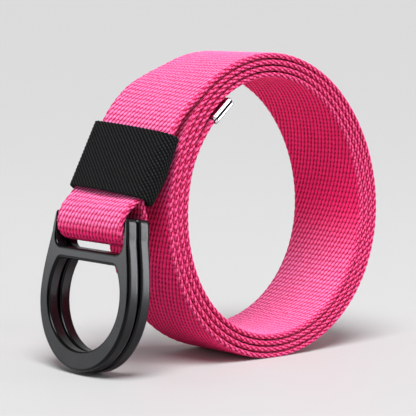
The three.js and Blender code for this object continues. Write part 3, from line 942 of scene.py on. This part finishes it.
# %% Outline of a ring
SLOT_SIDE_CLEARANCE, RING_OPENING_EXTRA = 0.9, 0.8
RING_RIM, RING_THICKNESS, RING_HEIGHT, RING_FOOT = 5.5, 4.9, 56.6, 0.8
RING_LEAN, CROSSBAR_HEIGHT, OPENING_CORNER, OPENING_FOOT = 7.6, 4.3, 1.8, 7.3
SLOT_CORNER, SLOT_CORNER_HEIGHT = 4.0, 5.5
LEG_WIDTH, SHOULDER_DROP, SHOULDER_CURVE = 2.4, 7.5, 0.72
# Points of the right leg and of the curves' handles: out from the slot's side, and down from the top.
BROW, BROW_HANDLE, LEG_TOP, TOP_HANDLE = (1.7, 3), (2.1, 5), (0.45, 0), (1.35, 0.2)
LEG_INNER_TOP = (0, 0.5)
OPENING_CORNER_IN = 0.4
slot_half = STRAP_WIDTH / 2 + SLOT_SIDE_CLEARANCE
opening_radius = slot_half + RING_OPENING_EXTRA
ring_radius = opening_radius + RING_RIM
ring_centre = ring_radius + RING_FOOT
crossbar_top = RING_HEIGHT - SLOT_DEPTH
crossbar_bottom = crossbar_top - CROSSBAR_HEIGHT


def bent(start, control, stop, count):
    t = np.linspace(0, 1, count + 1)[1:, None]
    start, control, stop = (np.array(p, float) for p in (start, control, stop))
    return (1 - t) ** 2 * start + 2 * (1 - t) * t * control + t**2 * stop


def arc_of(centre, radii, start, stop, count):
    angles = np.radians(np.linspace(start, stop, count + 1))
    return np.stack([centre[0] + radii[0] * np.cos(angles), centre[1] + radii[1] * np.sin(angles)], -1)


def both_sides(half):
    mirror = half[1:-1][::-1] * [-1, 1]
    return np.concatenate([half, mirror])


def leg_point(out, down):
    return np.array([slot_half + out, RING_HEIGHT - down])


def ring_outline():
    shoulder, brow = leg_point(LEG_WIDTH, SHOULDER_DROP), leg_point(*BROW)
    top, inner_top = leg_point(*LEG_TOP), leg_point(*LEG_INNER_TOP)
    side = (slot_half, crossbar_top + SLOT_CORNER_HEIGHT)
    slot_foot = (slot_half - SLOT_CORNER, crossbar_top)
    round_part = arc_of((0, ring_centre), (ring_radius, ring_centre), -90, 0, 60)
    return both_sides(np.concatenate([
        round_part,
        bent(round_part[-1], (ring_radius, shoulder[1] * SHOULDER_CURVE), shoulder, 24),
        bent(shoulder, leg_point(*BROW_HANDLE), brow, 12),
        bent(brow, leg_point(*TOP_HANDLE), top, 8),
        bent(top, leg_point(0, 0), inner_top, 5),
        np.linspace(inner_top, side, 16)[1:],
        bent(side, (slot_half, crossbar_top), slot_foot, 14),
        np.linspace(slot_foot, (0, crossbar_top), 16)[1:],
    ]))


def ring_opening():
    rise = crossbar_bottom - OPENING_CORNER - ring_centre
    end = math.degrees(math.asin(rise / opening_radius))
    lower = arc_of((0, ring_centre), (opening_radius, ring_centre - OPENING_FOOT), -90, 0, 48)
    upper = arc_of((0, ring_centre), (opening_radius, opening_radius), 0, end, 16)
    round_part = np.concatenate([lower, upper[1:]])
    corner = (round_part[-1][0] - OPENING_CORNER * OPENING_CORNER_IN, crossbar_bottom)
    flat = (corner[0] - OPENING_CORNER, crossbar_bottom)
    return both_sides(np.concatenate([
        round_part,
        bent(round_part[-1], corner, flat, 8),
        np.linspace(flat, (0, crossbar_bottom), 14)[1:],
    ]))


print("points: outline", len(ring_outline()), "opening", len(ring_opening()))

# %% [markdown]
# The plate is made of thin layers of the same outline. Near both faces the layers shrink along a
# quarter circle, which rounds the edges over. The roundings are painted with a dark reflection, as a
# satin black edge mirrors the dark part of a studio, and the outer wall is painted darker where it faces
# the table, as a dark reflection there.

# %% Layers of the plate
RING_ROUNDING, LEG_ROUNDING = 1.0, 0.5
ROUNDING_LAYERS, MIDDLE_LAYERS = 6, (0.3, 0.5, 0.7)
FACE_MARGIN = 0.18
NARROW_START, NARROW_LENGTH = 1, 6
# How far round the outer wall's underside a painted dark reflection starts, and how dark it gets.
UNDERSIDE_START, UNDERSIDE_DARK = 0.25, 0.85


def inward_normals(loop, outer):
    """Unit normals that point into the metal, from a loop in either direction."""
    ahead, behind = np.roll(loop, -1, 0), np.roll(loop, 1, 0)
    along = ahead - behind
    along /= np.linalg.norm(along, axis=1)[:, None]
    normal = np.stack([-along[:, 1], along[:, 0]], -1)
    area = (loop[:, 0] * ahead[:, 1] - ahead[:, 0] * loop[:, 1]).sum()
    return normal if (area > 0) == outer else -normal


def rounding_steps(radius, thickness):
    """Depth and inset of each layer, from the front face to the back one, with a flat margin on both."""
    turns = np.radians(np.linspace(0, 90, ROUNDING_LAYERS))
    front = [(0, radius + FACE_MARGIN)]
    front += [(radius * (1 - math.cos(a)), radius * (1 - math.sin(a))) for a in turns]
    middle = [(thickness * share, 0) for share in MIDDLE_LAYERS]
    return front + middle + [(thickness - depth, inset) for depth, inset in reversed(front)]


print("layers:", len(rounding_steps(RING_ROUNDING, RING_THICKNESS)))

# %% [markdown]
# The bar is a plain cylinder, sunk a little into both legs. The two flat faces of the plate have a hole,
# so they are closed with triangles.

# %% Bar, dark line and ring
BAR_SINK, BAR_SIDES = 0.6, 32


def add_bar(vertices, faces, centre):
    """A round bar between the legs, sunk into both."""
    reach, count = slot_half + BAR_SINK, BAR_SIDES
    base = len(vertices)
    for y in (-reach, reach):
        for k in range(count):
            spot = centre + heading(360 * k / count) * BAR_DIAMETER / 2
            vertices.append((spot[0], y, spot[1]))
    for k in range(count):
        n = (k + 1) % count
        faces.append((base + k, base + n, base + count + n, base + count + k))
    faces.append(tuple(range(base + count - 1, base - 1, -1)))
    faces.append(tuple(range(base + count, base + 2 * count)))


def painted_dark(mesh, shares):
    """Where the metal's painted dark reflections and painted groove shade lie, as a share for every
    point.
    """
    attribute = mesh.attributes.new("painted_dark", "FLOAT", "POINT")
    attribute.data.foreach_set("value", np.array(shares, np.float32))
    mesh.update()


def face_outwards(piece):
    work = bmesh.new()
    work.from_mesh(piece.data)
    bmesh.ops.recalc_face_normals(work, faces=work.faces)
    work.to_mesh(piece.data)
    work.free()
    piece.data.update()


def ring_piece(name, node, body, bar_centre, back_start):
    outline, opening = ring_outline(), ring_opening()
    lean_up, lean_back = heading(90 - RING_LEAN), heading(-RING_LEAN)
    foot = bars_middle - lean_up * (RING_HEIGHT - BAR_DEPTH)
    vertices, faces, caps = [], [], [[], []]
    steps = rounding_steps(RING_ROUNDING, RING_THICKNESS)
    dark = []
    for loop, outer in ((outline, True), (opening, False)):
        normal = inward_normals(loop, outer)
        above = loop[:, 1] - crossbar_top - NARROW_START
        narrow = smooth_share(above / NARROW_LENGTH) * outer
        scale = 1 + (LEG_ROUNDING / RING_ROUNDING - 1) * narrow
        # A painted dark reflection on the outer wall, where it faces the table.
        underside = smooth_share(UNDERSIDE_START + normal[:, 1]) * UNDERSIDE_DARK * outer
        start, count = len(vertices), len(loop)
        for depth, inset in steps:
            moved = loop + normal * (inset * scale)[:, None]
            for across, up in moved:
                spot = foot + lean_up * up + lean_back * (back_start + depth)
                vertices.append((spot[0], across, spot[1]))
            # The roundings take a painted dark reflection all over.
            on_rounding = 0 < inset <= RING_ROUNDING
            dark += (np.ones(count) if on_rounding else underside * (inset == 0)).tolist()
        for layer in range(len(steps) - 1):
            a, b = start + layer * count, start + (layer + 1) * count
            for k in range(count):
                n = (k + 1) % count
                faces.append((a + k, a + n, b + n, b + k) if outer else (a + k, b + k, b + n, a + n))
        caps[0].append(range(start, start + count))
        caps[1].append(range(start + (len(steps) - 1) * count, start + len(steps) * count))
    for cap in caps:
        order = [i for loop in cap for i in loop]
        flat = [[Vector((vertices[i][1], vertices[i][2], 0)) for i in loop] for loop in cap]
        faces += [tuple(order[k] for k in triangle) for triangle in tessellate_polygon(flat)]
    add_bar(vertices, faces, bar_centre)
    mesh = bpy.data.meshes.new(name)
    mesh.from_pydata([tuple(c * TO_METRES for c in v) for v in vertices], [], faces)
    mesh.polygons.foreach_set("use_smooth", [True] * len(mesh.polygons))
    dark += [0.0] * (len(vertices) - len(dark))
    painted_dark(mesh, dark)
    piece = linked(name, mesh)
    face_outwards(piece)
    piece.data.materials.append(RING_METAL)
    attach(piece, body)
    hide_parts(node)
    print(name, "triangles:", triangles_of(piece))

# %% [markdown]
# ## Metal finishes
# The rings have a satin black coat, so they mirror the studio softly, with smudges and faint brushing.
# The cap is polished chrome with only a breath of smudges. Both use one group that gives smudges and
# fine scratches from the piece's own coordinates, and both take the painted dark reflections and shade
# that the mesh's painted dark share marks.

# %% Metal shader group
BRUSHING = (1, 1, 0.06)


def wear_group():
    inputs = {
        "Place": "NodeSocketVector", "Smudge Scale": 120.0, "Scratch Scale": 900.0,
        "Low Roughness": 0.2, "High Roughness": 0.35,
    }
    outputs = {"Roughness": "NodeSocketFloat", "Height": "NodeSocketFloat", "Smudge": "NodeSocketFloat"}
    tree, given, result = new_tree("ShaderNodeTree", "metal_wear", inputs, outputs)
    smudge = noise(tree, given["Place"], given["Smudge Scale"], 4)
    drawn_out = added(tree, "ShaderNodeMapping", {"Scale": BRUSHING, "Vector": given["Place"]})
    scratch = noise(tree, drawn_out.outputs[0], given["Scratch Scale"], 2)
    spread = maths(tree, "SUBTRACT", given["High Roughness"], given["Low Roughness"])
    rough = maths(tree, "MULTIPLY_ADD", smudge, spread, given["Low Roughness"])
    feed(tree, result, {"Roughness": rough, "Height": scratch, "Smudge": smudge})
    return tree


WEAR = wear_group()
print("metal group nodes:", len(WEAR.nodes))

# %% [markdown]
# A metal has two tones, which the smudges mix, and a third for its painted dark reflections and shade.

# %% Satin black and chrome
COAT_ROUGHNESS = 0.18
BLACK_METAL = ((0.032, 0.033, 0.035, 1), (0.052, 0.053, 0.056, 1), (0.004, 0.004, 0.005, 1))
BRIGHT_METAL = ((0.60, 0.61, 0.63, 1), (0.80, 0.80, 0.82, 1), (0.01, 0.01, 0.012, 1))


def metal_material(name, tones, metallic, roughness, bump, coat):
    material, tree, skin = new_material(name)
    wear = added(tree, "ShaderNodeGroup", node_tree=WEAR)
    feed(tree, wear, {
        "Place": added(tree, "ShaderNodeTexCoord").outputs["Object"],
        "Low Roughness": roughness[0], "High Roughness": roughness[1],
    })
    tone = mixed_color(tree, wear.outputs["Smudge"], tones[0], tones[1])
    feed(tree, skin, {
        "Base Color": mixed_color(tree, from_mesh(tree, "painted_dark").outputs["Fac"], tone, tones[2]),
        "Metallic": metallic, "Roughness": wear.outputs["Roughness"],
        "Normal": bumped(tree, wear.outputs["Height"], bump),
        "Coat Weight": coat, "Coat Roughness": COAT_ROUGHNESS,
    })
    return material


RING_METAL = metal_material(
    "satin_black", BLACK_METAL, metallic=0.9, roughness=(0.2, 0.3), bump=(0.08, 0.00002), coat=0.12)
CHROME = metal_material(
    "chrome", BRIGHT_METAL, metallic=1.0, roughness=(0.05, 0.12), bump=(0.03, 0.00001), coat=0.0)
print("made", RING_METAL.name, CHROME.name)

# %% [markdown]
# The two rings are alike. They lean together, a thin gap apart, and each rides on its own body.

# %% Make both rings
ring_piece("front_d_ring", "ring_front", "front_ring", bar_centres[0], -RING_GAP / 2 - RING_THICKNESS)
ring_piece("back_d_ring", "ring_back", "back_ring", bar_centres[1], RING_GAP / 2)

# %% [markdown]
# ## Strap tip
# The end of the strap is capped with a bent strip of polished steel, open towards the strap and closed
# at its end. A groove runs along both sides, where the strip's edges meet, with painted shade in it, and
# its long edges carry a painted dark reflection, as a narrow rounding mirrors only the dark side of the
# studio.

# %% Cap
TIP_ROUNDING, TIP_CORNER, TIP_LEAST_CORNER, TIP_CORNER_LOSS = 0.7, 0.5, 0.2, 0.6
TIP_LIP, TIP_LIP_LENGTH, TIP_BODY_START, TIP_INSIDE_END = 0.12, 0.15, 1.5, 1.2
TIP_POINTS = (24, 9, 8)
SEAM_WIDTH, SEAM_DEPTH = 0.5, 0.3
# How dark the painted reflection on the long roundings is, and what share of the corner it covers.
EDGE_DARK, EDGE_DARK_WIDTH = 0.7, 0.8


def tip_mesh():
    outer_half = STRAP_THICKNESS / 2 + TIP_CLEARANCE + TIP_WALL
    outer_width = STRAP_WIDTH / 2 + TIP_CLEARANCE + TIP_WALL
    side = np.array([-tip_forward[1], tip_forward[0]])
    turn = np.radians(np.linspace(0, 90, 7))
    rows = [
        (TIP_LENGTH - TIP_INSIDE_END, TIP_WALL), (TIP_LIP_LENGTH, TIP_WALL), (0, TIP_WALL - TIP_LIP),
        (0, TIP_LIP), (TIP_LIP_LENGTH, 0),
    ]
    straight_end = TIP_LENGTH - TIP_ROUNDING
    rows += [(s, 0) for s in np.linspace(TIP_BODY_START, straight_end, 8)]
    for a in turn[1:]:
        rows.append((TIP_LENGTH - TIP_ROUNDING * (1 - math.sin(a)), TIP_ROUNDING * (1 - math.cos(a))))
    points, dark = [], []
    for along, inset in rows:
        corner = max(TIP_CORNER - inset * TIP_CORNER_LOSS, TIP_LEAST_CORNER)
        half_width, half_height = outer_width - inset, outer_half - inset
        section = rounded_oblong(half_width, half_height, -half_height, corner, TIP_POINTS)
        wall = np.abs(section[:, 0]) > half_width - 0.01
        seam = wall & (np.abs(section[:, 1]) < SEAM_WIDTH / 2)
        if inset < TIP_WALL:
            section[seam, 0] -= np.sign(section[seam, 0]) * SEAM_DEPTH
        rounded = np.abs(section[:, 0]) > half_width - corner * EDGE_DARK_WIDTH
        # Painted shade in the groove, and a painted dark reflection on the long roundings.
        dark += np.where(seam, 1.0, np.where(rounded & ~wall, EDGE_DARK, 0.0)).tolist()
        centre = tip_start + along * tip_forward + section[:, 1:] * side
        points.append(np.stack([centre[:, 0], section[:, 0], centre[:, 1]], -1))
    cap = grid_mesh("tip_cap", np.array(points))
    painted_dark(cap.data, dark)
    return cap


tip = tip_mesh()
face_outwards(tip)
tip.data.materials.append(CHROME)
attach(tip, "belt")
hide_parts("strap_tip")
print("tip triangles:", triangles_of(tip))

# %% [markdown]
# ## Finish
# The scene is brought up to date. The dressed belt stands within the solids' box, apart from a little
# proud cloth.

# %% Finish
bpy.context.view_layer.update()
